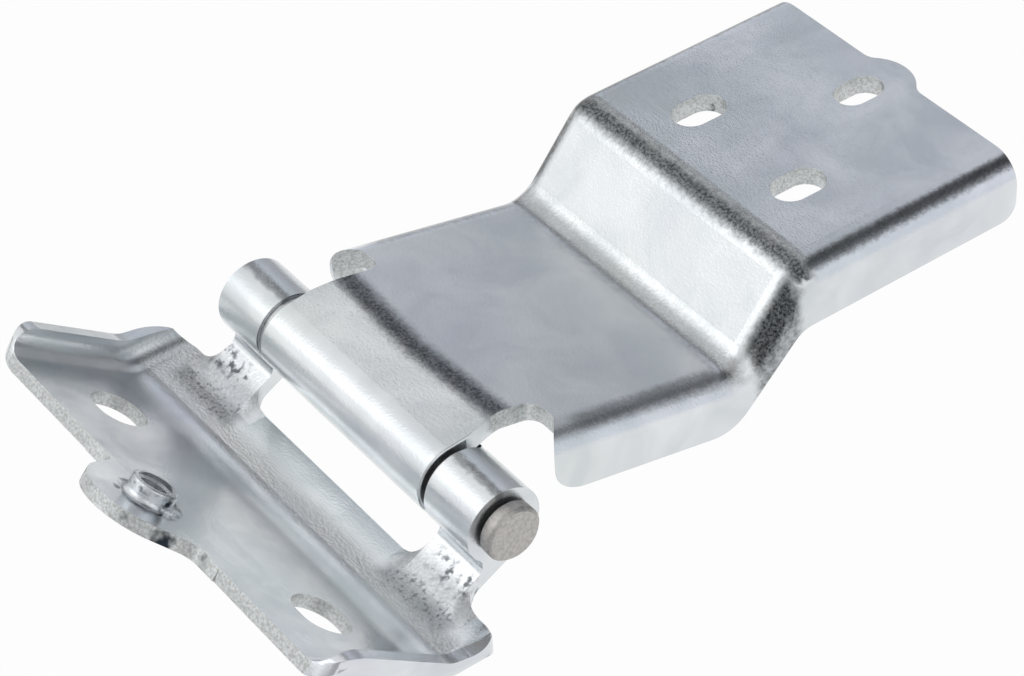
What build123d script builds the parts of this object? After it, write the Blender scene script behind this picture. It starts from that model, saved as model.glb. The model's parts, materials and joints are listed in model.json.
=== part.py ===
from build123d import *
import math
import os

# Van door hinge: X runs along the pin, Y towards the door leaf's mounting plate, Z up, millimetres.
# The origin is on the pin's axis, in the middle of the door leaf's barrel.

# Pin
pin_radius = 4.0
pin_head_radius = 6.2
pin_head_thickness = 3.0
pin_head_gap = 0.8
pin_tail = 2.0
pin_chamfer = 0.7
running_clearance = 0.05

# Door leaf: one pressing, with its mounting plate, step, lower plate, side flanges and rolled barrel
door_sheet = 4.5
door_half_width = 39.5
door_flange_depth = 14.5
door_bend_inside = 2.2
barrel_half_length = 28.3
barrel_edge_round = 0.6
roll_mouth = 27.0
neck_narrowing = 1.7
neck_taper_start = 3.5
neck_taper_lead = 1.0
neck_lap = 25.0
knuckle_bend_y = 11.5
knuckle_bend_rise = 1.1
knuckle_bend_round = 16.0
step_low_y = 63.5
step_low_z = -1.7
step_low_round = 7.0
step_high_y = 79.2
step_high_round = 9.0
mount_plate_z = 16.9
door_end_y = 136.1
end_bulge_radius = 9.5
end_bulge_reach = 3.7
end_bulge_blend = 4.0
door_notch_y = 21.0
door_notch_corner = 3.0
flange_low_back = 3.0
flange_low_lift = 1.2
flange_low_round = 10.0
flange_high_back = 0.5
flange_high_round = 6.0
flange_end_lead = 5.5
flange_end_inset = 1.95
flange_end_round = 7.0
flange_far_round = 4.0
pair_slot_width = 8.6
pair_slot_length = 12.8
pair_slot_x = 16.4
pair_slot_y = 96.5
end_slot_width = 7.8
end_slot_length = 11.8
end_slot_y = 126.7

# Body leaf: one pressing, sloped plate with upturned ends, trough, tab, two arms and two rolled knuckles
body_sheet = 3.0
body_shift = 0.35
knuckle_length = 14.5
side_play = 0.65
trough_top_z = -14.3
trough_bend = 5.0
trough_edge_y = -10.8
window_edge_y = -11.2
window_corner = 3.4
crease_y = -26.0
crease_round = 12.0
plate_slope = 36.5
plate_reach = 30.7
wing_half_length = 61.0
wing_lip = 5.4
wing_lip_low = 2.8
wing_bend_inside = 5.0
wing_near_corner = 9.5
wing_far_corner = 5.0
lip_near_round = 4.0
lip_far_round = 6.0
arm_slope = 28.0
arm_start_lead = 1.0
arm_twist = 5.0
arm_corner = 4.0
eye_join_round = 2.5
tab_half_width = 15.5
tab_reach = 15.2
tab_rise = 6.0
tab_lap = 6.0
tab_bend = 8.0
tab_corner = 4.0
tab_tip_radius = 13.0
collar_radius = 5.0
collar_height = 3.8
collar_reach = 2.0
collar_foot_round = 1.6
collar_foot_sink = 0.15
collar_rim_round = 0.5
thread_radius = 4.0
body_slot_width = 11.6
body_slot_length = 13.6
body_slot_x = 37.3
body_slot_reach = 14.6

# Bushes
bush_flange_radius = 7.7
bush_flange_thickness = 1.0
bush_recess = 1.5

# How far a cut runs out past what it cuts, and how far a cutter reaches above and below the hinge
overrun = 5.0
corner_margin = 2.0
tool_reach = 60.0

# Sizes that follow from the ones above
eye_radius = pin_radius + door_sheet
knuckle_bore = eye_radius - body_sheet
door_bend_outside = door_bend_inside + door_sheet
neck_half_width = barrel_half_length - neck_narrowing
neck_taper_end = knuckle_bend_y + neck_taper_lead
slant_half = door_half_width - door_sheet - flange_end_inset
notch_corner_limit = (slant_half - neck_half_width) / 2
knuckle_inner = barrel_half_length + bush_flange_thickness + side_play
knuckle_outer = knuckle_inner + knuckle_length
wing_bend_outside = wing_bend_inside + body_sheet
pin_axis = (0, 0)


def along(point, angle, distance):
    """The point reached by going a distance from a point in a direction given in degrees."""
    y = point[0] + distance * math.cos(math.radians(angle))
    z = point[1] + distance * math.sin(math.radians(angle))
    return (y, z)


def set_off(point, angle_before, angle_after, distance):
    """The corner of a line set off to the right of two lines that meet at a point."""
    half = math.radians((angle_after - angle_before) / 2)
    middle = (angle_before + angle_after) / 2
    return along(point, middle - 90, distance / math.cos(half))


def round_corner(sketch, point, radius):
    """Rounds the corner of a sketch that lies nearest to a point."""
    corner = sketch.vertices().sort_by_distance((point[0], point[1], 0))[0]
    fillet(corner, radius)


def outside_corner(corner_x, corner_y, x_way, y_way, radius):
    """Draws what lies outside a round corner, which points the given ways, so that it can be cut off."""
    size = radius + corner_margin
    inset = (radius - corner_margin) / 2
    with Locations((corner_x - x_way * inset, corner_y - y_way * inset)):
        Rectangle(size, size)
    with Locations((corner_x - x_way * radius, corner_y - y_way * radius)):
        Circle(radius, mode=Mode.SUBTRACT)


# Door leaf's top line, going away from the pin, and the directions of its runs
knuckle_bend = (knuckle_bend_y, eye_radius + knuckle_bend_rise)
step_low = (step_low_y, step_low_z)
step_high = (step_high_y, mount_plate_z)
bend_distance = math.hypot(knuckle_bend[0], knuckle_bend[1])
bend_bearing = math.degrees(math.atan2(knuckle_bend[1], knuckle_bend[0]))
tangent_angle = bend_bearing + math.degrees(math.acos(eye_radius / bend_distance))
neck_slope = tangent_angle - 90
lower_slope = math.degrees(math.atan2(step_low_z - knuckle_bend[1], step_low_y - knuckle_bend_y))
step_slope = math.degrees(math.atan2(mount_plate_z - step_low_z, step_high_y - step_low_y))


def top_line(y):
    """Height of the channel's top line at a place along the leaf."""
    if y <= step_low_y:
        return step_low_z + (y - step_low_y) * math.tan(math.radians(lower_slope))
    if y <= step_high_y:
        return step_low_z + (y - step_low_y) * math.tan(math.radians(step_slope))
    return mount_plate_z


# Ends of the channel's stock, and corners of the flanges' lower line
stock_start_y = door_notch_y - flange_end_lead - overrun
stock_end_y = door_end_y + end_bulge_reach + overrun
channel_start = (stock_start_y, top_line(stock_start_y))
channel_end = (stock_end_y, mount_plate_z)
flange_start = (stock_start_y, channel_start[1] - door_flange_depth)
flange_low = (step_low_y - flange_low_back, step_low_z - door_flange_depth + flange_low_lift)
flange_high = (step_high_y - flange_high_back, mount_plate_z - door_flange_depth)
flange_end = (stock_end_y, mount_plate_z - door_flange_depth)

# The same top line, one sheet thickness lower
under_start = along(channel_start, lower_slope - 90, door_sheet)
under_knuckle = set_off(knuckle_bend, neck_slope, lower_slope, door_sheet)
under_low = set_off(step_low, lower_slope, step_slope, door_sheet)
under_high = set_off(step_high, step_slope, 0, door_sheet)
under_end = (stock_end_y, mount_plate_z - door_sheet)


def in_upper_half(edge):
    """Whether an edge's middle lies above the middle line of the flanges."""
    middle = edge.center()
    return middle.Z > top_line(middle.Y) - door_flange_depth / 2


def lies_at(edge, half_width):
    """Whether an edge lies in one of the two upright planes at a distance from the middle."""
    return abs(abs(edge.center().X) - half_width) < 0.01


def crosses_flange_foot(edge):
    """Whether an edge crosses the thickness of a flange at its foot."""
    width = abs(abs((edge @ 0).X) - abs((edge @ 1).X))
    return width > 0.9 * door_sheet and not in_upper_half(edge)


# Inside of the door leaf's channel.
with BuildPart() as channel_inside:
    with BuildSketch(Plane.YZ) as inside:
        with BuildLine():
            Polyline(along(under_start, lower_slope + 180, overrun), under_low, under_high,
                     along(under_end, 0, overrun), (stock_end_y + overrun, -tool_reach),
                     (stock_start_y - overrun, -tool_reach), close=True)
        make_face()
        round_corner(inside, under_low, step_low_round + door_sheet)
        round_corner(inside, under_high, step_high_round - door_sheet)
    extrude(amount=door_half_width - door_sheet, both=True)
    upper_edges = channel_inside.edges().filter_by(lambda e: lies_at(e, door_half_width - door_sheet))
    upper_edges = upper_edges.filter_by(in_upper_half).filter_by(lambda e: abs((e % 0.5).Y) > 0.3)
    fillet(upper_edges, door_bend_inside)

with BuildPart() as door_leaf:
    # Outside of the channel: its flanges follow the top line.
    with BuildSketch(Plane.YZ) as outside:
        with BuildLine():
            Polyline(channel_start, step_low, step_high, channel_end, flange_end, flange_high, flange_low,
                     flange_start, close=True)
        make_face()
        round_corner(outside, step_low, step_low_round)
        round_corner(outside, step_high, step_high_round)
        round_corner(outside, flange_low, flange_low_round)
        round_corner(outside, flange_high, flange_high_round)
    extrude(amount=door_half_width, both=True)
    bends = door_leaf.edges().filter_by(lambda e: lies_at(e, door_half_width)).filter_by(in_upper_half)
    fillet(bends, door_bend_outside)
    add(channel_inside.part, mode=Mode.SUBTRACT)
    # Plan outline: straight end with a rounded bulge, and flanges that reach past the neck's notch.
    with BuildSketch(Plane.XY.offset(-tool_reach), mode=Mode.PRIVATE) as plan:
        plan_side = door_half_width + 1
        lead_y = door_notch_y - flange_end_lead
        with BuildLine():
            Polyline((-plan_side, door_end_y), (-plan_side, lead_y), (-slant_half, door_notch_y),
                     (slant_half, door_notch_y), (plan_side, lead_y), (plan_side, door_end_y), close=True)
        make_face()
        with Locations((0, door_end_y + end_bulge_reach - end_bulge_radius)):
            Circle(end_bulge_radius)
        bulge_half = math.sqrt(end_bulge_radius ** 2 - (end_bulge_radius - end_bulge_reach) ** 2)
        for side in (-1, 1):
            round_corner(plan, (side * bulge_half, door_end_y), end_bulge_blend)
    extrude(plan.sketch, amount=2 * tool_reach, mode=Mode.INTERSECT)
    # Lower corners of the flanges, at both ends.
    feet = door_leaf.edges().filter_by(crosses_flange_foot)
    fillet(feet.filter_by(lambda e: e.center().Y < door_notch_y), flange_end_round)
    feet = door_leaf.edges().filter_by(crosses_flange_foot)
    fillet(feet.filter_by(lambda e: e.center().Y > door_end_y - 1), flange_far_round)
    # Neck, bent down from the lower plate's line and rolled round the pin.
    lap_end = along(knuckle_bend, lower_slope, neck_lap)
    mouth_reach = 3 * eye_radius
    with BuildSketch(Plane.YZ) as eye:
        Circle(eye_radius)
        Circle(pin_radius, mode=Mode.SUBTRACT)
        with BuildLine():
            Polyline(pin_axis, along(pin_axis, roll_mouth, mouth_reach),
                     along(pin_axis, (roll_mouth + tangent_angle) / 2, mouth_reach),
                     along(pin_axis, tangent_angle, mouth_reach), close=True)
        make_face(mode=Mode.SUBTRACT)
        with BuildLine():
            Polyline(along(pin_axis, tangent_angle, eye_radius), knuckle_bend, lap_end,
                     along(lap_end, lower_slope - 90, door_sheet), under_knuckle,
                     along(pin_axis, tangent_angle, pin_radius), close=True)
        make_face()
        round_corner(eye, knuckle_bend, knuckle_bend_round)
        round_corner(eye, under_knuckle, knuckle_bend_round - door_sheet)
    extrude(amount=barrel_half_length, both=True)
    # Relief beside the neck, which is a little narrower than the barrel.
    relief_side = barrel_half_length + corner_margin
    with BuildSketch(Plane.XY.offset(-tool_reach)):
        for side in (-1, 1):
            with BuildLine():
                Polyline((side * relief_side, neck_taper_start),
                         (side * barrel_half_length, neck_taper_start),
                         (side * neck_half_width, neck_taper_end), (side * neck_half_width, door_notch_y),
                         (side * relief_side, door_notch_y), close=True)
            make_face()
    extrude(amount=2 * tool_reach, mode=Mode.SUBTRACT)
    corners = door_leaf.edges().filter_by(Axis.Z).filter_by(lambda e: lies_at(e, neck_half_width))
    corners = corners.filter_by(lambda e: abs(e.center().Y - door_notch_y) < 0.01)
    fillet(corners, min(door_notch_corner, notch_corner_limit))
    # Slots of the mounting plate.
    with BuildSketch(Plane.XY.offset(mount_plate_z)):
        with Locations((-pair_slot_x, pair_slot_y), (pair_slot_x, pair_slot_y)):
            SlotOverall(pair_slot_length, pair_slot_width, rotation=90)
        with Locations((0, end_slot_y)):
            SlotOverall(end_slot_length, end_slot_width, rotation=90)
    extrude(amount=-2 * door_sheet, mode=Mode.SUBTRACT)
    # Barrel ends.
    rims = door_leaf.edges().filter_by(GeomType.CIRCLE).filter_by(lambda e: lies_at(e, barrel_half_length))
    fillet(rims.filter_by(lambda e: abs(e.radius - eye_radius) < 0.01), barrel_edge_round)
door_leaf.part.label = "door_leaf"

# Body leaf's section, from the outer edge of its plate back to the knuckles
crease = (crease_y, trough_top_z)
plate_edge = along(crease, 180 - plate_slope, plate_reach)
crease_under = set_off(crease, -plate_slope, 0, body_sheet)
plate_edge_under = along(plate_edge, -plate_slope - 90, body_sheet)
lip_edge = along(plate_edge, 90 - plate_slope, wing_lip)
lip_crease = set_off(crease, -plate_slope, 0, -wing_lip)
lip_trough = (trough_edge_y, trough_top_z + wing_lip_low)
lip_floor = trough_top_z - 2 * body_sheet
arm_sine = math.sin(math.radians(arm_slope))
arm_cosine = math.cos(math.radians(arm_slope))
under_z = trough_top_z - body_sheet
arm_foot = ((knuckle_bore + arm_cosine * trough_top_z) / arm_sine, trough_top_z)
arm_foot_under = ((eye_radius + arm_cosine * under_z) / arm_sine, under_z)
arm_touch = along(pin_axis, arm_slope - 90, knuckle_bore)
arm_touch_under = along(pin_axis, arm_slope - 90, eye_radius)
arm_start_y = crease_y + crease_round * math.tan(math.radians(plate_slope / 2)) + arm_start_lead
eye_join_angle = arm_slope - 90 - math.degrees(math.acos(knuckle_bore / eye_radius))
eye_join = along(pin_axis, eye_join_angle, eye_radius)
twist_reach = trough_edge_y - arm_foot[0] + arm_corner
body_plane = Plane.YZ.offset(body_shift)

# The tab's section and the frames of the plate and the tab
tab_slope = plate_slope + tab_rise
tab_end = along(plate_edge, 180 - tab_slope, tab_reach + overrun)
tab_under = set_off(plate_edge, -tab_slope, -plate_slope, body_sheet)
tab_end_under = along(tab_end, -tab_slope - 90, body_sheet)
plate_normal = (0, math.sin(math.radians(plate_slope)), math.cos(math.radians(plate_slope)))
tab_normal = (0, math.sin(math.radians(tab_slope)), math.cos(math.radians(tab_slope)))
tab_out = (0, -math.cos(math.radians(tab_slope)), math.sin(math.radians(tab_slope)))
plate_frame = Plane((body_shift, crease_y, trough_top_z), x_dir=(1, 0, 0), z_dir=plate_normal)
tab_frame = Plane((body_shift, plate_edge[0], plate_edge[1]), x_dir=(1, 0, 0), z_dir=tab_normal)
hole_y, hole_z = along(plate_edge, 180 - tab_slope, collar_reach)
hole_centre = (body_shift, hole_y, hole_z)
collar_plane = Plane(hole_centre, x_dir=(1, 0, 0), z_dir=tab_out)

# Where the tab's straight sides touch the circle of its tip, in the tab's own plane
tip_centre = tab_tip_radius - tab_reach
side_bearing = math.degrees(math.atan2(-tip_centre, tab_half_width))
tip_touch = side_bearing - math.degrees(math.acos(tab_tip_radius / math.hypot(tab_half_width, tip_centre)))
tip_x = tab_tip_radius * math.cos(math.radians(tip_touch))
tip_y = tip_centre + tab_tip_radius * math.sin(math.radians(tip_touch))


def above_plate(edge):
    """How far an edge's middle lies above the top of the body leaf's plate or trough."""
    middle = edge @ 0.5
    slope_height = (middle.Y - crease_y) * -math.tan(math.radians(plate_slope))
    return middle.Z - trough_top_z - max(slope_height, 0)


def runs_along(edge):
    """Whether an edge follows the body leaf's section, not its thickness."""
    direction = edge % 0.5
    return abs(direction.Z) < 0.9 * abs(direction.Y)


def lies_at_wing(edge, half_length):
    """Whether an edge lies in one of the two upright planes at a distance from the leaf's middle."""
    return abs(abs(edge.center().X - body_shift) - half_length) < 0.01


# Inside of the body leaf's tray.
with BuildPart() as tray_inside:
    with BuildSketch(body_plane) as scoop:
        scoop_front = trough_edge_y + overrun
        scoop_top = trough_top_z + 2 * tool_reach
        with BuildLine():
            Polyline(along(plate_edge, 180 - plate_slope, overrun), crease, (scoop_front, trough_top_z),
                     (scoop_front, scoop_top), (plate_edge[0] - tool_reach, scoop_top), close=True)
        make_face()
        round_corner(scoop, crease, crease_round)
    extrude(amount=wing_half_length - body_sheet, both=True)
    floor = tray_inside.edges().filter_by(lambda e: lies_at_wing(e, wing_half_length - body_sheet))
    fillet(floor.filter_by(lambda e: runs_along(e) and above_plate(e) < body_sheet), wing_bend_inside)

# Tab bent up at the plate's outer edge, with its round tip.
with BuildPart() as tab:
    with BuildSketch(body_plane) as tab_section:
        with BuildLine():
            Polyline(along(plate_edge, -plate_slope, tab_lap), plate_edge, tab_end, tab_end_under, tab_under,
                     along(plate_edge_under, -plate_slope, tab_lap), close=True)
        make_face()
        round_corner(tab_section, plate_edge, tab_bend)
        round_corner(tab_section, tab_under, tab_bend + body_sheet)
    extrude(amount=tab_half_width + 3 * tab_corner, both=True)
    with BuildSketch(tab_frame, mode=Mode.PRIVATE) as tab_outline:
        with Locations((0, tab_lap)):
            Rectangle(2 * tab_half_width + 4 * tab_corner, 2 * tab_lap)
        with BuildLine():
            Polyline((-tab_half_width, 0), (-tip_x, tip_y), (0, tip_y), (tip_x, tip_y), (tab_half_width, 0),
                     close=True)
        make_face()
        with Locations((0, tip_centre)):
            Circle(tab_tip_radius)
        for side in (-1, 1):
            round_corner(tab_outline, (side * tab_half_width, 0), tab_corner)
    extrude(tab_outline.sketch, amount=tool_reach, both=True, mode=Mode.INTERSECT)

with BuildPart() as body_leaf:
    # Plate and trough with upturned ends.
    with BuildSketch(body_plane) as tray:
        with BuildLine():
            Polyline(along(plate_edge, 90 - plate_slope, tool_reach),
                     (trough_edge_y, trough_top_z + tool_reach), (trough_edge_y, under_z), crease_under,
                     plate_edge_under, close=True)
        make_face()
        round_corner(tray, crease_under, crease_round + body_sheet)
    extrude(amount=wing_half_length, both=True)
    keel = body_leaf.edges().filter_by(lambda e: lies_at_wing(e, wing_half_length))
    fillet(keel.filter_by(lambda e: runs_along(e) and above_plate(e) < 0), wing_bend_outside)
    add(tray_inside.part, mode=Mode.SUBTRACT)
    # Upper edge of the lips.
    with BuildSketch(body_plane, mode=Mode.PRIVATE) as lip_line:
        with BuildLine():
            Polyline(lip_edge, lip_crease, lip_trough, (trough_edge_y, lip_floor), (crease_y, lip_floor),
                     plate_edge_under, close=True)
        make_face()
        round_corner(lip_line, lip_crease, crease_round - wing_lip)
        round_corner(lip_line, lip_edge, lip_far_round)
        round_corner(lip_line, lip_trough, lip_near_round)
    extrude(lip_line.sketch, amount=2 * wing_half_length, both=True, mode=Mode.INTERSECT)
    # The plate's outer corners, rounded in plan.
    with BuildSketch(plate_frame):
        for side in (-1, 1):
            outside_corner(side * wing_half_length, -plate_reach, side, -1, wing_far_corner)
    extrude(amount=2 * wing_lip, both=True, mode=Mode.SUBTRACT)
    # Room for the arms, which rise out of the trough.
    with BuildSketch(body_plane, mode=Mode.PRIVATE) as room:
        with BuildLine():
            Polyline((arm_foot[0], 0), arm_foot, arm_foot_under, (arm_foot_under[0], -tool_reach),
                     (eye_radius, -tool_reach), (eye_radius, 0), close=True)
        make_face()
    for side in (-1, 1):
        room_start = Location((side * (knuckle_inner - arm_twist), 0, 0))
        room_width = knuckle_length + 2 * arm_twist
        extrude(room.sketch.moved(room_start), amount=side * room_width, dir=(1, 0, 0), mode=Mode.SUBTRACT)
    # Arms: up from the trough, under the pin and rolled right round the bushes.
    with BuildSketch(body_plane, mode=Mode.PRIVATE) as arm:
        Circle(eye_radius)
        Circle(knuckle_bore, mode=Mode.SUBTRACT)
        with BuildLine():
            Polyline((arm_start_y, trough_top_z), arm_foot, arm_touch, arm_touch_under, arm_foot_under,
                     (arm_start_y, under_z), close=True)
        make_face()
        round_corner(arm, arm_foot, trough_bend)
        round_corner(arm, arm_foot_under, trough_bend + body_sheet)
        round_corner(arm, eye_join, eye_join_round)
    for side in (-1, 1):
        arm_start = Location((side * knuckle_inner, 0, 0))
        extrude(arm.sketch.moved(arm_start), amount=side * knuckle_length, dir=(1, 0, 0))
    # Twisted strips between the arms and the flat trough beside them.
    strips = ((knuckle_outer, knuckle_outer + arm_twist), (knuckle_inner, knuckle_inner - arm_twist))
    for side in (-1, 1):
        for arm_x, flat_x in strips:
            ends = []
            for strip_x, strip_slope in ((arm_x, arm_slope), (flat_x, 0)):
                strip_plane = Plane.YZ.offset(body_shift + side * strip_x)
                with BuildSketch(strip_plane, mode=Mode.PRIVATE) as strip_end:
                    with BuildLine():
                        Polyline(arm_foot, along(arm_foot, strip_slope, twist_reach),
                                 along(arm_foot_under, strip_slope, twist_reach), arm_foot_under, close=True)
                    make_face()
                ends.append(strip_end.sketch)
            loft(ends, ruled=True)
    # Outer sides of the arms, with a rounded corner down to the wings.
    front_depth = 4 * eye_radius
    with BuildSketch(Plane.XY.offset(-tool_reach)) as beside:
        for side in (-1, 1):
            middle_x = body_shift + side * (knuckle_outer + wing_half_length) / 2
            with Locations((middle_x, trough_edge_y + front_depth / 2)):
                Rectangle(wing_half_length - knuckle_outer, front_depth)
        for side in (-1, 1):
            round_corner(beside, (body_shift + side * knuckle_outer, trough_edge_y), arm_corner)
    extrude(amount=2 * tool_reach, mode=Mode.SUBTRACT)
    # The wings' corners on the pin's side, rounded in plan.
    with BuildSketch(Plane.XY.offset(-tool_reach)):
        for side in (-1, 1):
            outside_corner(body_shift + side * wing_half_length, trough_edge_y, side, 1, wing_near_corner)
    extrude(amount=2 * tool_reach, mode=Mode.SUBTRACT)
    # Window for the door leaf's barrel.
    window_depth = front_depth - window_edge_y
    with BuildSketch(Plane.XY.offset(-tool_reach)) as window:
        with Locations((body_shift, window_edge_y + window_depth / 2)):
            Rectangle(2 * knuckle_inner, window_depth)
        for side in (-1, 1):
            round_corner(window, (body_shift + side * knuckle_inner, window_edge_y), window_corner)
    extrude(amount=2 * tool_reach, mode=Mode.SUBTRACT)
    add(tab.part)
    # Collar of the threaded hole, drawn up out of the tab with a flared foot.
    with BuildSketch(collar_plane) as collar:
        foot_x = collar_radius + collar_foot_round
        foot_top = collar_foot_round - collar_foot_sink
        with BuildLine():
            RadiusArc((foot_x, -collar_foot_sink), (collar_radius, foot_top), collar_foot_round)
            Polyline((collar_radius, foot_top), (collar_radius, collar_height), (0, collar_height),
                     (0, -body_sheet / 2), (foot_x, -body_sheet / 2), (foot_x, -collar_foot_sink))
        make_face()
        round_corner(collar, (collar_radius, collar_height), collar_rim_round)
    revolve(axis=Axis(hole_centre, tab_normal))
    with BuildSketch(tab_frame):
        with Locations((0, -collar_reach)):
            Circle(thread_radius)
    extrude(amount=4 * body_sheet, both=True, mode=Mode.SUBTRACT)
    # Slots of the plate.
    with BuildSketch(plate_frame):
        with Locations((-body_slot_x, -body_slot_reach), (body_slot_x, -body_slot_reach)):
            SlotOverall(body_slot_length, body_slot_width)
    extrude(amount=2 * body_sheet, both=True, mode=Mode.SUBTRACT)
body_leaf.part.label = "body_leaf"

# Pin, pressed into the door leaf's barrel
pin_tail_x = body_shift - knuckle_outer - pin_tail
pin_head_x = body_shift + knuckle_outer + pin_head_gap

with BuildPart() as hinge_pin:
    with BuildSketch(Plane.YZ.offset(pin_tail_x)):
        Circle(pin_radius)
    extrude(amount=pin_head_x - pin_tail_x + pin_head_thickness / 2)
    chamfer(hinge_pin.edges().sort_by(Axis.X)[0], pin_chamfer)
    with BuildSketch(Plane.YZ.offset(pin_head_x)):
        Circle(pin_head_radius)
    extrude(amount=pin_head_thickness)
    chamfer(hinge_pin.edges().sort_by(Axis.X)[-1], pin_chamfer)
hinge_pin.part.label = "hinge_pin"

pieces = [door_leaf, body_leaf, hinge_pin]

# Flanged bushes, pressed into the knuckles
for bush_name, side in (("near_bush", 1), ("far_bush", -1)):
    bush_plane = Plane.YZ.offset(body_shift + side * knuckle_inner)
    with BuildPart() as bush:
        with BuildSketch(bush_plane):
            Circle(knuckle_bore)
        extrude(amount=side * (knuckle_length - bush_recess))
        with BuildSketch(bush_plane):
            Circle(bush_flange_radius)
        extrude(amount=-side * bush_flange_thickness)
        with BuildSketch(Plane.YZ):
            Circle(pin_radius + running_clearance)
        extrude(amount=2 * knuckle_outer, both=True, mode=Mode.SUBTRACT)
    bush.part.label = bush_name
    pieces.append(bush)

os.makedirs("parts", exist_ok=True)
for piece in pieces:
    export_step(piece.part, "parts/" + piece.part.label + ".step")
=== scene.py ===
import json
import math

import bmesh
import bpy
from bpy.props import FloatProperty, FloatVectorProperty, PointerProperty
from bpy.types import Operator, Panel, PropertyGroup
from mathutils import Matrix, Vector


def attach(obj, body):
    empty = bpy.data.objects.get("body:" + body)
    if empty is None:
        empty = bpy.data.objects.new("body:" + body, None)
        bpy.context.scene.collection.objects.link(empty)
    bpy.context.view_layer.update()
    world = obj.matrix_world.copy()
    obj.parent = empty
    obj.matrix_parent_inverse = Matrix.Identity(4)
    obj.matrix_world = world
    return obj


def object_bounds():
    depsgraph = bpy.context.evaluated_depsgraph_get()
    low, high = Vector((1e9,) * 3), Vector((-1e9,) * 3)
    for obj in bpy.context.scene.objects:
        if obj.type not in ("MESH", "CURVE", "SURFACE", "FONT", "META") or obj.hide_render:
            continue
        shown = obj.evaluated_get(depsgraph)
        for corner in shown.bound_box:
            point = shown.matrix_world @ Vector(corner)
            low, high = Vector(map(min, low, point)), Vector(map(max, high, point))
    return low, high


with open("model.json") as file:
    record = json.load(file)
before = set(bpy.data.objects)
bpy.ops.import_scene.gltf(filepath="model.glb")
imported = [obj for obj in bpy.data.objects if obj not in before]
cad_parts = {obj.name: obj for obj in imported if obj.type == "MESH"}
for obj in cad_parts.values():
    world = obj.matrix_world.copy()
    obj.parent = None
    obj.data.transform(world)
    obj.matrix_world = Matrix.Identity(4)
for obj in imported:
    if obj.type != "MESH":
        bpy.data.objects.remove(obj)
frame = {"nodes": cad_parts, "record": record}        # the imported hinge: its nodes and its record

bl_info = {
    "name": "Van Door Hinge",
    "version": (1, 0, 0),
    "blender": (4, 5, 0),
    "location": "3D View > Sidebar > Hinge",
    "description": "Plating, tapped thread and studio of a pressed steel van door hinge",
    "category": "Object",
}

CAD_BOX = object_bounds()
MM = 0.001
WHITE = (1.0, 1.0, 1.0, 1.0)

# The tab's threaded hole, as the record gives it
MOUNTS = {mount["name"]: mount for mount in frame["record"]["mounts"]}
THREAD = MOUNTS["tab_thread"]
HOLE_CENTRE = Vector(THREAD["pos_m"])
HOLE_AXIS = Vector(THREAD["axis"])
HOLE_RADIUS = THREAD["dims"]["r_mm"] * MM
HOLE_LENGTH = THREAD["dims"]["length_mm"] * MM
BODY_SHEET = 3.0 * MM

# The way out of the body leaf's sloped plate, whose mount looks into the pillar
PLATE_NORMAL = -Vector(MOUNTS["body_plate"]["axis"])

# How far the bend beside the barrel bows along Y, per millimetre from the middle
BARREL_BEND_BOW = -0.07

# Door leaf: places of its bends and of its sheared edges, in millimetres
BARREL_BEND_Y = 10.8
BARREL_BEND_Z = 10.5
STEP_FOOT_Y = 62.6
STEP_FOOT_Z = -0.5
STEP_TOP_Y = 80.0
STEP_TOP_Z = 16.5
STEP_CORNER_X = 37.4
STEP_CORNER_Y = 72.5
MOUNT_BEND_X = 36.6
MOUNT_BEND_Z = 16.3
LOWER_BEND_X = 35.6
LOWER_BEND_Y = 42.0
SLOTS_Y = 110.0
SLOTS_REACH = 24.0
NOTCH_X = 20.0
NOTCH_Y = 16.0
DOOR_END_Y = 140.0
DOOR_EDGE_X = 38.9

# Body leaf: places of its arms, knuckles, collar and tab, in millimetres
ARM_X = 38.0
ARM_ROOT_Y = -14.5
ARM_FOOT_Y = -16.5
CREASE_X = 39.5
CREASE_Y = -9.5
CREASE_Z = -12.0
KNUCKLE_STREAK_Y = -0.6
KNUCKLE_TOP_Z = 8.5
COLLAR_REACH = 6.6
PLATE_HALF_LENGTH = 55.0
PLATE_EDGE_Y = -60.0
TAB_SMUDGE_X = 4.0

# Camera: the picture's width in pixels and the point that the camera looks at
IMAGE_WIDTH = 1024
AIM = Vector((1.62, 33.39, 0.0)) * MM


def linear(hex_colour):
    """Turns an sRGB hex colour into linear red, green and blue."""
    parts = [int(hex_colour[i:i + 2], 16) / 255 for i in (1, 3, 5)]
    return tuple(c / 12.92 if c <= 0.04045 else ((c + 0.055) / 1.055) ** 2.4 for c in parts)


def rgba(colour):
    """A colour property as the four numbers of a colour socket."""
    return (colour[0], colour[1], colour[2], 1.0)


def per_size(size_mm):
    """Scale of a pattern whose features are so many millimetres wide."""
    return 1.0 / (size_mm * MM)


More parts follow.
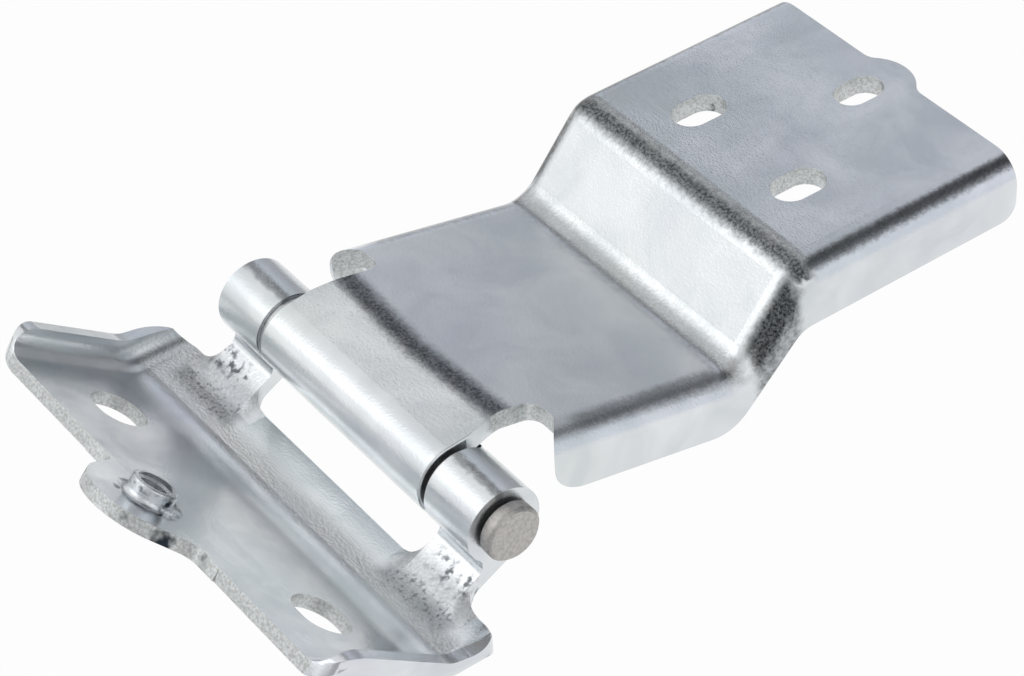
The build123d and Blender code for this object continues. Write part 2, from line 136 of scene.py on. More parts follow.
class PlatingSettings(PropertyGroup):
    """Zinc plating of the two pressed leaves."""

    bright: FloatVectorProperty(
        name="Bright zinc", description="Colour of clean plating", subtype="COLOR",
        default=linear("#e6e8ea"))
    cool: FloatVectorProperty(
        name="Lavender bloom", description="Cool tint of the passivated film", subtype="COLOR",
        default=linear("#cfcfda"))
    green: FloatVectorProperty(
        name="Green bloom", description="Greenish tint of the passivated film", subtype="COLOR",
        default=linear("#d0dad6"))
    # Colour of the painted shade: dark reflections and shade painted along the bends, broken up by the sheet's
    # grain.
    painted_shade: FloatVectorProperty(
        name="Painted bend shade", description="Painted shade and dark reflection along the bends, broken by grain", subtype="COLOR",
        default=linear("#24282d"))
    pit: FloatVectorProperty(
        name="Pit", description="Dark of the pits and smudges", subtype="COLOR",
        default=linear("#30373f"))
    cut: FloatVectorProperty(
        name="Sheared edge", description="Burnished part of a sheared edge", subtype="COLOR",
        default=linear("#d6d9da"))
    torn: FloatVectorProperty(
        name="Torn edge", description="Torn grain of a sheared edge", subtype="COLOR",
        default=linear("#b4b7b5"))
    roughness: FloatProperty(
        name="Roughness", description="Gloss of the flat plating", default=0.2, subtype="FACTOR")
    cloud: FloatProperty(
        name="Cloud size", description="Width of the plating's clouds in millimetres", default=16.0)
    grain: FloatProperty(
        name="Grain size", description="Width of the sheet's grain in millimetres", default=0.6)
    edge_round: FloatProperty(
        name="Edge round", description="Radius of the tumbled edges", default=0.45 * MM, unit="LENGTH")


class PinSettings(PropertyGroup):
    """Turned pin, drawn bushes and tapped thread."""

    steel: FloatVectorProperty(
        name="Pin steel", description="Colour of the turned pin", subtype="COLOR",
        default=linear("#c4c1be"))
    bush: FloatVectorProperty(
        name="Bush steel", description="Colour of the drawn bushes", subtype="COLOR",
        default=linear("#d2d2d4"))
    pitch: FloatProperty(
        name="Thread pitch", description="Pitch of the tapped thread", default=1.25 * MM, unit="LENGTH")
    depth: FloatProperty(
        name="Thread depth", description="Height of the thread's ridge", default=0.65 * MM, unit="LENGTH")
    edge_round: FloatProperty(
        name="Edge round", description="Radius of the turned edges", default=0.25 * MM, unit="LENGTH")


class StudioSettings(PropertyGroup):
    """Floor, light tent, lamps and camera."""

    floor: FloatVectorProperty(
        name="Floor", description="Colour of the floor", subtype="COLOR", default=linear("#fafafa"))
    front: FloatProperty(
        name="Front panel", description="Light of the big panel in front and above", default=1.1)
    back: FloatProperty(
        name="Back wall", description="Light of the tent's grey back", default=0.58)
    azimuth: FloatProperty(
        name="Azimuth", description="Camera's bearing round the hinge, in degrees", default=56.58)
    elevation: FloatProperty(
        name="Elevation", description="Camera's height above the horizon, in degrees", default=40.82)
    roll: FloatProperty(
        name="Roll", description="Camera's tilt about its own axis, in degrees", default=-3.97)
    distance: FloatProperty(
        name="Distance", description="Camera's distance from its aim", default=0.6871, unit="LENGTH")
    focal_pixels: FloatProperty(
        name="Focal length", description="Focal length in pixels of the picture", default=3374.5)


def node(tree, kind, links=None, values=None, **settings):
    """Adds a node with its settings, its plain input values and its incoming links."""
    made = tree.nodes.new(kind)
    for name, value in settings.items():
        setattr(made, name, value)
    for socket, value in (values or {}).items():
        made.inputs[socket].default_value = value
    for socket, source in (links or {}).items():
        tree.links.new(source, made.inputs[socket])
    return made


def empty_tree(owner):
    """The node tree of a material or world, with nothing in it."""
    owner.use_nodes = True
    owner.node_tree.nodes.clear()
    return owner.node_tree


def new_metal(name):
    """A material with its output and a metal shader, ready for nodes."""
    material = bpy.data.materials.new(name)
    tree = empty_tree(material)
    shader = node(tree, "ShaderNodeBsdfPrincipled", values={"Metallic": 1.0})
    node(tree, "ShaderNodeOutputMaterial", links={"Surface": shader.outputs["BSDF"]})
    return material, tree, shader


def within(tree, value, centre, half, fade, level=1.0, unit=MM):
    """A mask that holds its level within a half width of a centre and falls to 0 over the fade."""
    apart = node(tree, "ShaderNodeMath", {0: value}, {1: centre * unit}, operation="SUBTRACT")
    size = node(tree, "ShaderNodeMath", {0: apart.outputs[0]}, operation="ABSOLUTE")
    fall = node(tree, "ShaderNodeMapRange", {"Value": size.outputs[0]},
                {"From Min": half * unit, "From Max": (half + fade) * unit, "To Min": level, "To Max": 0.0},
                interpolation_type="SMOOTHSTEP")
    return fall.outputs["Result"]


def joined(tree, operation, first, *others):
    """Several masks brought together two by two with one operation."""
    total = first
    for other in others:
        total = node(tree, "ShaderNodeMath", {0: total, 1: other}, operation=operation).outputs[0]
    return total


def patches(tree, place, size_mm, low, high):
    """Scattered patches of a size: 0 below the low level of their noise, 1 above the high one."""
    noise = node(tree, "ShaderNodeTexNoise", {"Vector": place}, {"Scale": per_size(size_mm), "Detail": 3.0})
    step = node(tree, "ShaderNodeMapRange", {"Value": noise.outputs["Fac"]},
                {"From Min": low, "From Max": high}, interpolation_type="SMOOTHSTEP")
    return step.outputs["Result"]


def ragged_place(tree, place, reach_mm, size_mm):
    """The surface's place, shaken so that marks get grainy borders."""
    noise = node(tree, "ShaderNodeTexNoise", {"Vector": place}, {"Scale": per_size(size_mm), "Detail": 3.0})
    centred = node(tree, "ShaderNodeVectorMath", {0: noise.outputs["Color"]}, {1: (0.5, 0.5, 0.5)},
                   operation="SUBTRACT")
    shake = node(tree, "ShaderNodeVectorMath", {0: centred.outputs[0]}, {"Scale": 2 * reach_mm * MM},
                 operation="SCALE")
    moved = node(tree, "ShaderNodeVectorMath", {0: place, 1: shake.outputs[0]}, operation="ADD")
    return node(tree, "ShaderNodeSeparateXYZ", {"Vector": moved.outputs[0]}).outputs


def door_leaf_marks(tree, place, facing):
    """Masks of the door leaf's painted shade along its bends, dark spots and sheared edges."""
    axes = node(tree, "ShaderNodeSeparateXYZ", {"Vector": place}).outputs
    ways = node(tree, "ShaderNodeSeparateXYZ", {"Vector": facing}).outputs
    ragged = ragged_place(tree, place, reach_mm=0.9, size_mm=1.3)
    across = node(tree, "ShaderNodeMath", {0: ragged["X"]}, operation="ABSOLUTE").outputs[0]
    # The bend beside the barrel bows towards it in the middle.
    bowed = node(tree, "ShaderNodeMath", {0: across, 2: ragged["Y"]}, {1: BARREL_BEND_BOW},
                 operation="MULTIPLY_ADD")
    # Painted shade: dark bands along the knuckle bend, the step's top, the flange tops and the lower plate's
    # edge, a dark patch at the step's corner and the shade in the concave step foot, all standing in for dark
    # reflections and shade.
    knuckle = joined(tree, "MULTIPLY",
                     within(tree, bowed.outputs[0], BARREL_BEND_Y, half=0.6, fade=3.6, level=0.92),
                     within(tree, ragged["Z"], BARREL_BEND_Z, half=3.5, fade=2.0))
    step_top = joined(tree, "MULTIPLY",
                      within(tree, ragged["Y"], STEP_TOP_Y, half=0.5, fade=3.2, level=0.95),
                      within(tree, ragged["Z"], STEP_TOP_Z, half=2.5, fade=1.0))
    mount_bend = joined(tree, "MULTIPLY",
                        within(tree, across, MOUNT_BEND_X, half=0.4, fade=1.6, level=0.7),
                        within(tree, ragged["Z"], MOUNT_BEND_Z, half=1.6, fade=1.0))
    lower_bend = joined(tree, "MULTIPLY",
                        within(tree, across, LOWER_BEND_X, half=0.5, fade=2.0, level=0.5),
                        within(tree, ragged["Y"], LOWER_BEND_Y, half=15.0, fade=6.0),
                        within(tree, ways["Z"], 1.0, half=0.5, fade=0.2, unit=1.0))
    corner = joined(tree, "MULTIPLY",
                    within(tree, across, STEP_CORNER_X, half=1.0, fade=2.4),
                    within(tree, ragged["Y"], STEP_CORNER_Y, half=4.0, fade=3.0))
    step_foot = joined(tree, "MULTIPLY",
                       within(tree, ragged["Y"], STEP_FOOT_Y, half=0.8, fade=3.5, level=0.4),
                       within(tree, ragged["Z"], STEP_FOOT_Z, half=2.5, fade=2.0))
    # This gathers all of the door leaf's painted shade.
    bend = joined(tree, "MAXIMUM", knuckle, step_top, mount_bend, lower_bend, corner, step_foot)
    upright = within(tree, ways["Z"], 0.0, half=0.25, fade=0.15, unit=1.0)
    inner = node(tree, "ShaderNodeMath", {0: axes["X"]}, operation="ABSOLUTE").outputs[0]
    slots = joined(tree, "MULTIPLY", upright,
                   within(tree, axes["Y"], SLOTS_Y, half=SLOTS_REACH, fade=0.5),
                   within(tree, inner, 0.0, half=SLOTS_REACH, fade=0.5))
    notches = joined(tree, "MULTIPLY", upright,
                     within(tree, axes["Y"], NOTCH_Y, half=5.5, fade=0.3),
                     within(tree, inner, NOTCH_X, half=DOOR_EDGE_X - NOTCH_X, fade=0.2))
    end = joined(tree, "MULTIPLY", upright,
                 within(tree, axes["Y"], DOOR_END_Y, half=4.2, fade=0.2),
                 within(tree, inner, 0.0, half=DOOR_EDGE_X, fade=0.2))
    cut = joined(tree, "MAXIMUM", slots, notches, end)
    # Small dark spots sit on the sheared edges, where the sheet tore.
    spots = joined(tree, "MULTIPLY", cut, patches(tree, place, size_mm=2.2, low=0.64, high=0.8))
    return bend, spots, cut


def body_leaf_marks(tree, place, facing):
    """Masks of the body leaf's painted shade on its arm roots and knuckles with the dark ring at the collar's
    foot, its pits and smudges, and its sheared edges.
    """
    axes = node(tree, "ShaderNodeSeparateXYZ", {"Vector": place}).outputs
    ragged = ragged_place(tree, place, reach_mm=1.2, size_mm=2.2)
    across = node(tree, "ShaderNodeMath", {0: ragged["X"]}, operation="ABSOLUTE").outputs[0]
    inner = node(tree, "ShaderNodeMath", {0: axes["X"]}, operation="ABSOLUTE").outputs[0]
    to_hole = node(tree, "ShaderNodeVectorMath", {0: place}, {1: HOLE_CENTRE}, operation="DISTANCE")
    collar = within(tree, to_hole.outputs["Value"], 0.0, half=COLLAR_REACH, fade=0.3)
    # A dark ring, broken into patches, round the foot of the collar.
    foot = joined(tree, "MULTIPLY",
                  within(tree, to_hole.outputs["Value"], COLLAR_REACH, half=0.3, fade=0.9, level=0.8),
                  patches(tree, place, size_mm=3.0, low=0.42, high=0.6))
    # Painted shade: a mid-grey darkening over the arm roots, which tones down their bright reflection.
    painted_arm_shade = joined(tree, "MULTIPLY",
                  within(tree, across, ARM_X, half=9.0, fade=4.0, level=0.45),
                  within(tree, ragged["Y"], ARM_ROOT_Y, half=3.0, fade=3.5))
    # Painted reflection: a dark streak along the top of each knuckle, standing in for a dark reflection band.
    painted_knuckle_reflection = joined(tree, "MULTIPLY",
                    within(tree, ragged["Y"], KNUCKLE_STREAK_Y, half=0.2, fade=1.3, level=0.55),
                    within(tree, ragged["Z"], KNUCKLE_TOP_Z, half=1.5, fade=1.0))
    worked = joined(tree, "MULTIPLY",
                    within(tree, across, ARM_X, half=8.0, fade=3.0, level=0.6),
                    within(tree, ragged["Y"], ARM_FOOT_Y, half=1.5, fade=2.5),
                    patches(tree, place, size_mm=0.9, low=0.5, high=0.7))
    crease = joined(tree, "MULTIPLY",
                    within(tree, across, CREASE_X, half=4.5, fade=3.0, level=0.85),
                    within(tree, ragged["Y"], CREASE_Y, half=1.2, fade=2.2),
                    within(tree, ragged["Z"], CREASE_Z, half=4.5, fade=1.0),
                    patches(tree, place, size_mm=1.8, low=0.46, high=0.66))
    drawn = joined(tree, "MULTIPLY", collar, patches(tree, place, size_mm=2.6, low=0.54, high=0.74))
    turned = node(tree, "ShaderNodeVectorMath", {0: facing}, {1: PLATE_NORMAL}, operation="DOT_PRODUCT")
    edge = joined(tree, "MULTIPLY",
                  within(tree, turned.outputs["Value"], 0.0, half=0.3, fade=0.15, unit=1.0),
                  within(tree, inner, 0.0, half=PLATE_HALF_LENGTH, fade=0.5),
                  within(tree, axes["Y"], PLATE_EDGE_Y, half=32.0, fade=0.5))
    bare = node(tree, "ShaderNodeMath", {1: collar}, {0: 1.0}, operation="SUBTRACT").outputs[0]
    sheared = joined(tree, "MULTIPLY", edge, bare)
    smudged = joined(tree, "MULTIPLY", sheared,
                     within(tree, axes["X"], TAB_SMUDGE_X, half=13.0, fade=5.0),
                     patches(tree, place, size_mm=6.0, low=0.46, high=0.6))
    # This gathers the painted arm shade, the painted knuckle reflection and the dark ring round the collar's
    # foot.
    painted_shade = joined(tree, "MAXIMUM", painted_arm_shade, painted_knuckle_reflection, foot)
    pitted = joined(tree, "MAXIMUM", worked, crease, drawn, smudged)
    return painted_shade, pitted, sheared


def plated_steel(name, settings, marks):
    """Bright zinc on pressed sheet: a cloudy gloss with blue and green bloom and painted dark shade along the
    bends, broken by the grain.
    """
    material, tree, shader = new_metal(name)
    where = node(tree, "ShaderNodeTexCoord").outputs
    place = where["Object"]
    # bend carries each leaf's painted shade.
    bend, pitted, cut = marks(tree, place, where["Normal"])
    clouds = node(tree, "ShaderNodeTexNoise", {"Vector": place},
                  {"Scale": per_size(settings.cloud), "Detail": 4.0, "Distortion": 0.6})
    bloom = node(tree, "ShaderNodeTexNoise", {"Vector": place},
                 {"Scale": per_size(2.4 * settings.cloud), "Detail": 2.0, "W": 3.0}, noise_dimensions="4D")
    # The grain is drawn about twice as coarse as real, so that it shows.
    grain = node(tree, "ShaderNodeTexNoise", {"Vector": place},
                 {"Scale": per_size(settings.grain), "Detail": 3.0, "Roughness": 0.65})
    tint = node(tree, "ShaderNodeMix", {"Factor": bloom.outputs["Fac"]}, data_type="RGBA",
                values={"A": rgba(settings.cool), "B": rgba(settings.green)})
    tint_share = node(tree, "ShaderNodeMapRange", {"Value": clouds.outputs["Fac"]},
                      {"From Min": 0.35, "From Max": 0.65, "To Min": 0.2, "To Max": 0.9})
    colour = node(tree, "ShaderNodeMix",
                  {"Factor": tint_share.outputs["Result"], "B": tint.outputs["Result"]},
                  {"A": rgba(settings.bright)}, data_type="RGBA")
    # Painted shade lies along the bends; the sheet's grain breaks it up, so its dark comes and goes with the
    # grain.
    speckle = node(tree, "ShaderNodeMapRange", {"Value": grain.outputs["Fac"]},
                   {"From Min": 0.38, "From Max": 0.64, "To Min": 1.0, "To Max": 0.72})
    # dark is the share of painted shade in each place.
    dark = joined(tree, "MULTIPLY", bend, speckle.outputs["Result"])
    colour = node(tree, "ShaderNodeMix", {"Factor": dark, "A": colour.outputs["Result"]},
                  {"B": rgba(settings.painted_shade)}, data_type="RGBA")
    # A sheared edge is burnished where the punch went in and torn where the sheet broke.
    torn = node(tree, "ShaderNodeMapRange", {"Value": grain.outputs["Fac"]},
                {"From Min": 0.4, "From Max": 0.62})
    edge = node(tree, "ShaderNodeMix", {"Factor": torn.outputs["Result"]}, data_type="RGBA",
                values={"A": rgba(settings.cut), "B": rgba(settings.torn)})
    colour = node(tree, "ShaderNodeMix", {"Factor": cut, "A": colour.outputs["Result"],
                                          "B": edge.outputs["Result"]}, data_type="RGBA")
    colour = node(tree, "ShaderNodeMix", {"Factor": pitted, "A": colour.outputs["Result"]},
                  {"B": rgba(settings.pit)}, data_type="RGBA")
    gloss = node(tree, "ShaderNodeMapRange", {"Value": clouds.outputs["Fac"]},
                 {"From Min": 0.3, "From Max": 0.7,
                  "To Min": settings.roughness - 0.05, "To Max": settings.roughness + 0.07})
    gloss = node(tree, "ShaderNodeMath", {0: dark, 2: gloss.outputs["Result"]}, {1: 0.12},
                 operation="MULTIPLY_ADD")
    gloss = node(tree, "ShaderNodeMath", {0: cut, 2: gloss.outputs[0]}, {1: 0.2}, operation="MULTIPLY_ADD")
    waves = node(tree, "ShaderNodeTexNoise", {"Vector": place}, {"Scale": per_size(7.0), "Detail": 1.0})
    sheet = node(tree, "ShaderNodeBump", {"Height": waves.outputs["Fac"]},
                 {"Strength": 0.5, "Distance": 0.10 * MM})
    relief = node(tree, "ShaderNodeBump", {"Height": grain.outputs["Fac"], "Normal": sheet.outputs["Normal"]},
                  {"Strength": 0.6, "Distance": 0.08 * MM})
    tree.links.new(colour.outputs["Result"], shader.inputs["Base Color"])
    tree.links.new(gloss.outputs[0], shader.inputs["Roughness"])
    tree.links.new(relief.outputs["Normal"], shader.inputs["Normal"])
    return material


def turned_steel(name, colour, roughness):
    """Turned and drawn steel: a dull, mottled grey with fine rings that the tool left round its axis."""
    material, tree, shader = new_metal(name)
    place = node(tree, "ShaderNodeTexCoord").outputs["Object"]
    rings = node(tree, "ShaderNodeTexWave", {"Vector": place},
                 {"Scale": per_size(3.0), "Distortion": 0.8, "Detail": 2.0, "Detail Scale": 4.0},
                 wave_type="RINGS", rings_direction="X")
    # The mottle is drawn coarser than real, so that it shows.
    mottle = node(tree, "ShaderNodeTexNoise", {"Vector": place},
                  {"Scale": per_size(0.9), "Detail": 5.0, "Roughness": 0.65})
    patch = node(tree, "ShaderNodeMapRange", {"Value": mottle.outputs["Fac"]},
                 {"From Min": 0.35, "From Max": 0.6})
    shade = node(tree, "ShaderNodeMix", {"Factor": patch.outputs["Result"]}, data_type="RGBA",
                 values={"A": rgba([0.7 * c for c in colour]), "B": rgba(colour)})
    gloss = node(tree, "ShaderNodeMapRange", {"Value": mottle.outputs["Fac"]},
                 {"From Min": 0.3, "From Max": 0.7, "To Min": roughness - 0.07, "To Max": roughness + 0.07})
    relief = node(tree, "ShaderNodeBump", {"Height": rings.outputs["Fac"]},
                  {"Strength": 0.15, "Distance": 0.02 * MM})
    tree.links.new(shade.outputs["Result"], shader.inputs["Base Color"])
    tree.links.new(gloss.outputs["Result"], shader.inputs["Roughness"])
    tree.links.new(relief.outputs["Normal"], shader.inputs["Normal"])
    return material


def soften_edges(piece, radius):
    """Joins the faces of a solid and rounds its sharp edges."""
    weld = piece.modifiers.new("joined_faces", "WELD")
    weld.merge_threshold = 0.002 * MM
    bevel = piece.modifiers.new("edge_round", "BEVEL")
    bevel.width = radius
    bevel.segments = 3
    bevel.limit_method = "ANGLE"
    bevel.angle_limit = math.radians(50)
    flat = piece.modifiers.new("flat_faces", "WEIGHTED_NORMAL")
    flat.mode = "FACE_AREA"
    flat.keep_sharp = True


def dress(name, material, radius):
    """Gives a solid its finish and its rounded edges."""
    piece = frame["nodes"][name]
    piece.data.materials.clear()
    piece.data.materials.append(material)
    soften_edges(piece, radius)


class HINGE_OT_leaves(Operator):
    """Plates the door leaf and the body leaf"""

    bl_idname = "hinge.leaves"
    bl_label = "Plate the leaves"

    def execute(self, context):
        plating = context.scene.hinge_plating
        for name, marks in (("door_leaf", door_leaf_marks), ("body_leaf", body_leaf_marks)):
            dress(name, plated_steel("zinc_plated_" + name, plating, marks), plating.edge_round)
        return {"FINISHED"}


class HINGE_OT_pin(Operator):
    """Finishes the pin and its bushes"""

    bl_idname = "hinge.pin"
    bl_label = "Finish the pin and bushes"

    def execute(self, context):
        pin = context.scene.hinge_pin
        # The turned pin is dull and grey, and the drawn bushes are smoother and shine a little more.
        shaft = turned_steel("turned_steel_pin", pin.steel, roughness=0.5)
        dress("hinge_pin", shaft, pin.edge_round)
        bush = turned_steel("drawn_steel_bush", pin.bush, roughness=0.3)
        for name in ("near_bush", "far_bush"):
            dress(name, bush, pin.edge_round)
        return {"FINISHED"}


class HINGE_OT_thread(Operator):
    """Cuts the thread of the tab's collar as a ridge that winds along the hole"""

    bl_idname = "hinge.thread"
    bl_label = "Tap the collar"

    def execute(self, context):
        pin = context.scene.hinge_pin
        steps_per_turn = 48
        turns = HOLE_LENGTH / pin.pitch - 1
        # The ridge's foot lies a little inside the wall, and its section is given in shares of the pitch.
        sunk = 0.03 * MM
        foot_half = 0.44
        crest_half = 0.08
        wall = HOLE_RADIUS + sunk
        crest = wall - pin.depth
        section = ((wall, -foot_half), (crest, -crest_half), (crest, crest_half), (wall, foot_half))
        mesh = bmesh.new()
        rings = []
        for step in range(int(turns * steps_per_turn) + 1):
            angle = 2 * math.pi * step / steps_per_turn
            height = -BODY_SHEET + pin.pitch * (0.5 + step / steps_per_turn)
            ring = []
            for radius, rise in section:
                corner = (radius * math.cos(angle), radius * math.sin(angle), height + rise * pin.pitch)
                ring.append(mesh.verts.new(corner))
            rings.append(ring)
        for before, after in zip(rings, rings[1:]):
            for side in range(len(section)):
                other = (side + 1) % len(section)
                mesh.faces.new((before[side], after[side], after[other], before[other]))
        mesh.faces.new(rings[0])
        mesh.faces.new(reversed(rings[-1]))
        bmesh.ops.recalc_face_normals(mesh, faces=mesh.faces)
        data = bpy.data.meshes.new("collar_thread")
        mesh.to_mesh(data)
        mesh.free()
        thread = bpy.data.objects.new("collar_thread", data)
        context.scene.collection.objects.link(thread)
        turn = HOLE_AXIS.to_track_quat("Z", "Y").to_matrix().to_4x4()
        thread.matrix_world = Matrix.Translation(HOLE_CENTRE) @ turn
        # The tap left bright flanks in the colour of a sheared edge.
        flanks = turned_steel("tapped_zinc_thread", context.scene.hinge_plating.cut, roughness=0.3)
        data.materials.append(flanks)
        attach(thread, "body_side")
        return {"FINISHED"}


def glow(tree, direction, axis, inner_deg, outer_deg, level):
    """One soft spot on the tent, round an axis: a panel's light, or the share that dims the wall."""
    towards = Vector(axis).normalized()
    cosine = node(tree, "ShaderNodeVectorMath", {0: direction}, {1: towards}, operation="DOT_PRODUCT")
    panel = node(tree, "ShaderNodeMapRange", {"Value": cosine.outputs["Value"]},
                 {"From Min": math.cos(math.radians(outer_deg)),
                  "From Max": math.cos(math.radians(inner_deg)), "To Min": 0.0, "To Max": level},
                 interpolation_type="SMOOTHSTEP")
    return panel.outputs["Result"]


def tent_material(studio):
    """Light tent: a white panel in front and above with a dark edge, a grey back and a white side."""
    material = bpy.data.materials.new("light_tent")
    tree = empty_tree(material)
    place = node(tree, "ShaderNodeTexCoord").outputs["Object"]
    direction = node(tree, "ShaderNodeVectorMath", {0: place}, operation="NORMALIZE").outputs[0]
    axes = node(tree, "ShaderNodeSeparateXYZ", {"Vector": direction}).outputs
    front = node(tree, "ShaderNodeMapRange", {"Value": axes["Y"]},
                 {"From Min": -0.6, "From Max": 0.3, "To Min": studio.front, "To Max": 0.8 * studio.front})
    rim = node(tree, "ShaderNodeMapRange", {"Value": axes["Y"]},
               {"From Min": 0.33, "From Max": 0.37, "To Min": 1.0, "To Max": 0.0},
               interpolation_type="SMOOTHSTEP")
    # The panel is dimmer on the right, and ends a little above the horizon.
    right = node(tree, "ShaderNodeMapRange", {"Value": axes["X"]},
                 {"From Min": -0.2, "From Max": 0.5, "To Min": 1.0, "To Max": 0.55})
    low = node(tree, "ShaderNodeMapRange", {"Value": axes["Z"]},
               {"From Min": 0.0, "From Max": 0.16, "To Min": 0.55, "To Max": 1.0})
    panel = joined(tree, "MULTIPLY", front.outputs["Result"], rim.outputs["Result"], low.outputs["Result"],
                   right.outputs["Result"])
    # The back begins behind a dark gap and falls off slowly.
    edge = node(tree, "ShaderNodeMapRange", {"Value": axes["Y"]},
                {"From Min": 0.42, "From Max": 0.47, "To Min": 0.0, "To Max": studio.back},
                interpolation_type="SMOOTHSTEP")
    fall = node(tree, "ShaderNodeMapRange", {"Value": axes["Y"]},
                {"From Min": 0.47, "From Max": 0.80, "To Min": 1.45, "To Max": 0.66})
    back = joined(tree, "MULTIPLY", edge.outputs["Result"], fall.outputs["Result"])
    cool = node(tree, "ShaderNodeMix", {"Factor": back}, data_type="RGBA",
                values={"A": WHITE, "B": rgba(linear("#edf2ff"))})
    wall = joined(tree, "ADD", panel, back)
    # Two parts of the wall are dimmed, and a white panel stands on the right.
    gap = glow(tree, direction, axis=(0.30, 0.50, 0.80), inner_deg=8, outer_deg=24, level=0.8)
    corner = glow(tree, direction, axis=(0.62, 0.76, -0.17), inner_deg=14, outer_deg=34, level=0.6)
    dim = joined(tree, "MAXIMUM", gap, corner)
    kept = node(tree, "ShaderNodeMath", {1: dim}, {0: 1.0}, operation="SUBTRACT").outputs[0]
    side = glow(tree, direction, axis=(0.92, 0.30, 0.20), inner_deg=20, outer_deg=42, level=0.95)
    level = joined(tree, "MAXIMUM", joined(tree, "MULTIPLY", wall, kept), side)
    shine = node(tree, "ShaderNodeEmission", {"Strength": level, "Color": cool.outputs["Result"]})
    node(tree, "ShaderNodeOutputMaterial", links={"Surface": shine.outputs["Emission"]})
    return material


def pale_rays(tree):
    """1 for the rays that see the white background: camera, glossy and transmission rays."""
    path = node(tree, "ShaderNodeLightPath").outputs
    return joined(tree, "MAXIMUM", path["Is Camera Ray"], path["Is Glossy Ray"], path["Is Transmission Ray"])


def floor_material(colour):
    """Matt white card, which shows white and keeps a faint shadow."""
    material = bpy.data.materials.new("white_card_floor")
    tree = empty_tree(material)
    matt = node(tree, "ShaderNodeBsdfDiffuse", values={"Color": rgba(colour)})
    white = node(tree, "ShaderNodeEmission", values={"Color": WHITE, "Strength": 1.0})
    share = node(tree, "ShaderNodeMath", {0: pale_rays(tree)}, {1: 0.95}, operation="MULTIPLY")
    mixed = node(tree, "ShaderNodeMixShader",
                 {0: share.outputs[0], 1: matt.outputs["BSDF"], 2: white.outputs["Emission"]})
    node(tree, "ShaderNodeOutputMaterial", links={"Surface": mixed.outputs["Shader"]})
    return material


def add_lamp(context, name, place, aim, size, power):
    """A square soft lamp that looks at a point."""
    lamp = bpy.data.lights.new(name, "AREA")
    lamp.shape = "SQUARE"
    lamp.size = size
    lamp.energy = power
    holder = bpy.data.objects.new(name, lamp)
    context.scene.collection.objects.link(holder)
    holder.location = place
    holder.rotation_mode = "QUATERNION"
    holder.rotation_quaternion = (Vector(aim) - Vector(place)).to_track_quat("-Z", "Y")


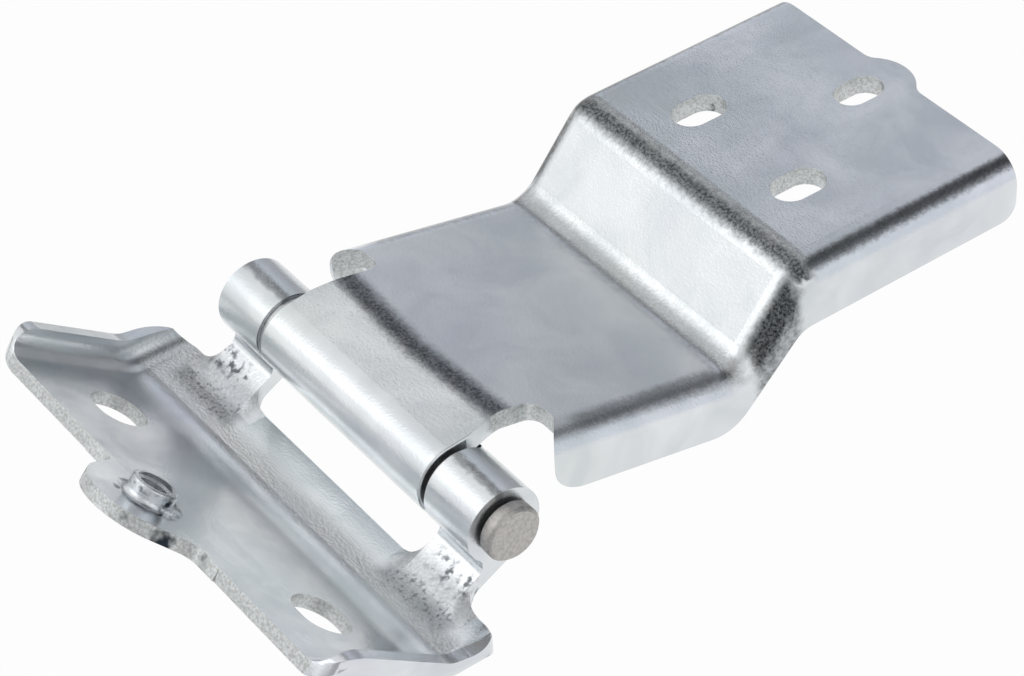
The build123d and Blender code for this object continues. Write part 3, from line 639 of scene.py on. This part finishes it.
class HINGE_OT_studio(Operator):
    """Sets up the floor, the light tent, the lamps and the camera"""

    bl_idname = "hinge.studio"
    bl_label = "Set up the studio"

    def execute(self, context):
        studio = context.scene.hinge_studio
        high = CAD_BOX[1]
        swing = math.hypot(high.y, high.z)
        floor_gap = 12 * MM
        self.add_floor(context, studio, -(swing + floor_gap))
        self.add_tent(context, studio)
        self.set_world(context)
        add_lamp(context, "key_lamp", place=(-0.7, -1.0, 1.3), aim=(0, 0.03, 0), size=1.2, power=3.0)
        add_lamp(context, "fill_lamp", place=(1.2, -0.3, 0.9), aim=(0, 0.03, 0), size=1.2, power=2.0)
        self.add_camera(context, studio)
        context.scene.view_settings.view_transform = "Standard"
        return {"FINISHED"}

    def add_floor(self, context, studio, height):
        """A flat card below the swing of the door leaf."""
        half = 1.2
        data = bpy.data.meshes.new("floor")
        corners = [(-half, -half, height), (half, -half, height), (half, half, height), (-half, half, height)]
        data.from_pydata(corners, [], [(0, 1, 2, 3)])
        floor = bpy.data.objects.new("floor", data)
        context.scene.collection.objects.link(floor)
        data.materials.append(floor_material(studio.floor))

    def add_tent(self, context, studio):
        """A wide dome of soft panels, which only shows in the metal."""
        radius = 8.0
        lower_rim = -0.25 * radius
        data = bpy.data.meshes.new("light_tent")
        dome = bmesh.new()
        bmesh.ops.create_uvsphere(dome, u_segments=64, v_segments=32, radius=radius)
        low_faces = [face for face in dome.faces if face.calc_center_median().z < lower_rim]
        bmesh.ops.delete(dome, geom=low_faces, context="FACES")
        dome.to_mesh(data)
        dome.free()
        tent = bpy.data.objects.new("light_tent", data)
        context.scene.collection.objects.link(tent)
        data.materials.append(tent_material(studio))
        tent.visible_camera = False
        tent.visible_diffuse = False
        tent.visible_shadow = False

    def set_world(self, context):
        """White background, with plain soft light from all round."""
        world = bpy.data.worlds.new("studio")
        context.scene.world = world
        tree = empty_tree(world)
        soft = node(tree, "ShaderNodeBackground", values={"Color": WHITE, "Strength": 0.6})
        white = node(tree, "ShaderNodeBackground", values={"Color": WHITE, "Strength": 1.0})
        mixed = node(tree, "ShaderNodeMixShader",
                     {0: pale_rays(tree), 1: soft.outputs["Background"], 2: white.outputs["Background"]})
        node(tree, "ShaderNodeOutputWorld", links={"Surface": mixed.outputs["Shader"]})

    def add_camera(self, context, studio):
        """The photograph's own point of view."""
        azimuth = math.radians(studio.azimuth)
        elevation = math.radians(studio.elevation)
        back = Vector((math.sin(azimuth) * math.cos(elevation),
                       -math.cos(azimuth) * math.cos(elevation), math.sin(elevation)))
        data = bpy.data.cameras.new("camera")
        data.sensor_width = 36.0
        data.lens = studio.focal_pixels * data.sensor_width / IMAGE_WIDTH
        data.clip_start = 0.01
        camera = bpy.data.objects.new("camera", data)
        context.scene.collection.objects.link(camera)
        look = (-back).to_track_quat("-Z", "Y").to_matrix()
        turn = look @ Matrix.Rotation(math.radians(studio.roll), 3, "Z")
        camera.matrix_world = Matrix.Translation(AIM + back * studio.distance) @ turn.to_4x4()
        context.scene.camera = camera


class HINGE_PT_panel(Panel):
    """Lists the steps and their settings"""

    bl_idname = "HINGE_PT_panel"
    bl_label = "Van Door Hinge"
    bl_space_type = "VIEW_3D"
    bl_region_type = "UI"
    bl_category = "Hinge"

    def draw(self, context):
        for operator, group in STEPS:
            self.layout.operator(operator)
            settings = getattr(context.scene, group)
            for name in settings.__annotations__:
                self.layout.prop(settings, name)


STEPS = (
    ("hinge.leaves", "hinge_plating"),
    ("hinge.pin", "hinge_pin"),
    ("hinge.thread", "hinge_pin"),
    ("hinge.studio", "hinge_studio"),
)
GROUPS = (
    ("hinge_plating", PlatingSettings),
    ("hinge_pin", PinSettings),
    ("hinge_studio", StudioSettings),
)
CLASSES = (
    PlatingSettings, PinSettings, StudioSettings,
    HINGE_OT_leaves, HINGE_OT_pin, HINGE_OT_thread, HINGE_OT_studio, HINGE_PT_panel,
)


def register():
    for kind in CLASSES:
        bpy.utils.register_class(kind)
    for name, group in GROUPS:
        setattr(bpy.types.Scene, name, PointerProperty(type=group))


def unregister():
    for name, group in GROUPS:
        delattr(bpy.types.Scene, name)
    for kind in reversed(CLASSES):
        bpy.utils.unregister_class(kind)


def main():
    register()
    bpy.ops.hinge.leaves()
    bpy.ops.hinge.pin()
    bpy.ops.hinge.thread()
    bpy.ops.hinge.studio()


if __name__ == "__main__":
    main()
